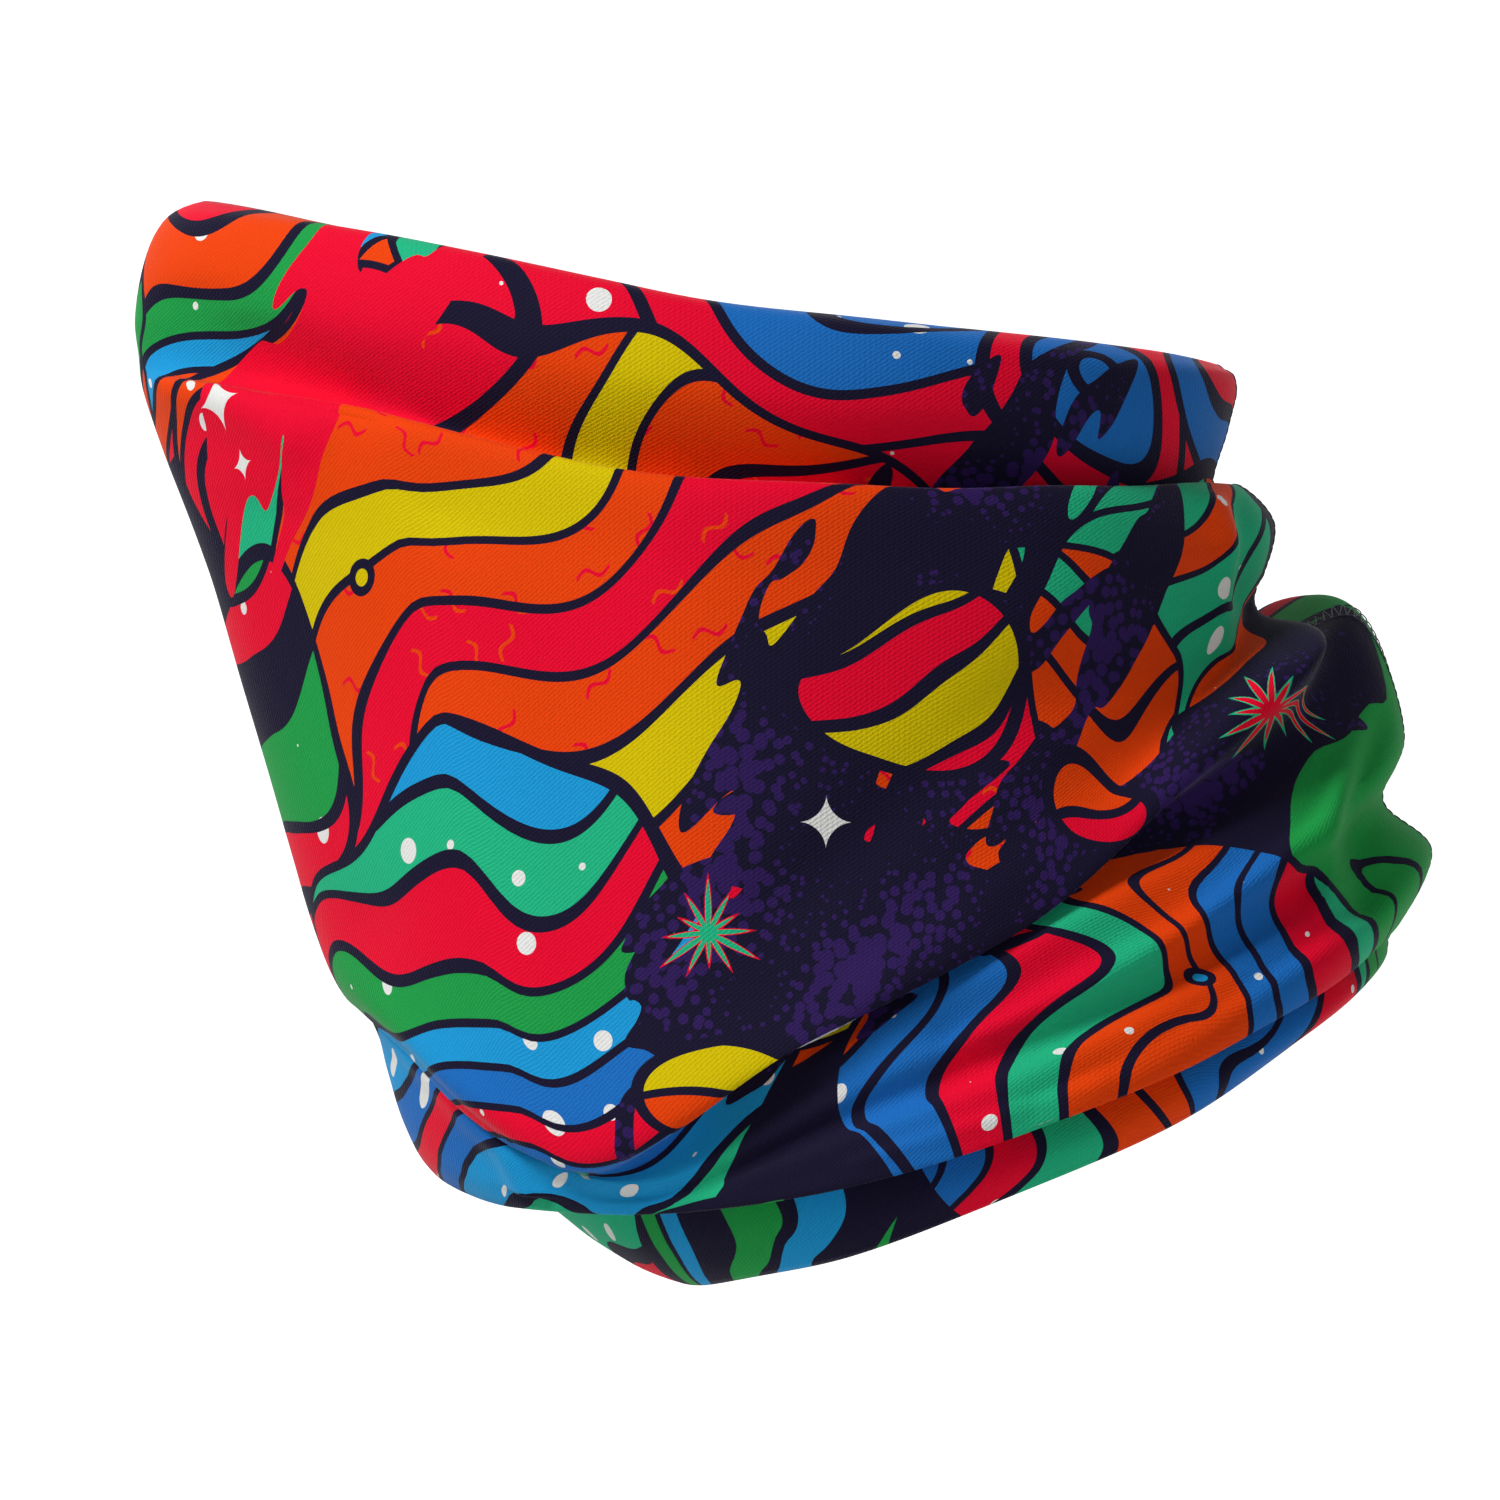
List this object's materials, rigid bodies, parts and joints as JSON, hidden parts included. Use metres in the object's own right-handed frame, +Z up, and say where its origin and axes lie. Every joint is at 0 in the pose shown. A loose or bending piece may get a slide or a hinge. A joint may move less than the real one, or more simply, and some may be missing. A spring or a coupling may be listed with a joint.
{
  "type": "neck gaiter",
  "caption": "Printed stretch-knit neck gaiter as worn over nose, jaw and neck, with a cheek fold, a hanging jaw flap, a rolled neck and a nape pocket.",
  "frame": {"origin": "on the axis of the wearer's neck, midway between the nose and the nape and midway up the worn tube", "axes": "+Z up along the neck, +X towards the wearer's back, so the nose points to -X, and +Y towards the wearer's right"},
  "size_m": [0.2468, 0.1618, 0.2047],
  "materials": {
    "printed_knit": "matte",
    "seam_knit": "matte",
    "seam_thread": "matte"
  },
  "bodies": {
    "root": {"nose_bridge": "printed_knit", "left_cheek": "printed_knit", "back_of_head": "printed_knit", "right_cheek": "printed_knit", "chin_tent": "printed_knit", "left_jaw": "printed_knit", "upper_nape_roll": "printed_knit", "right_jaw": "printed_knit", "throat": "printed_knit", "left_neck_roll": "printed_knit", "lower_nape_roll": "printed_knit", "right_neck_roll": "printed_knit", "front_collar": "printed_knit", "left_collar": "printed_knit", "back_collar": "printed_knit", "right_collar": "printed_knit", "seam_allowance": "seam_knit", "flatlock_stitch_band": "seam_thread"}
  },
  "joints": []
}
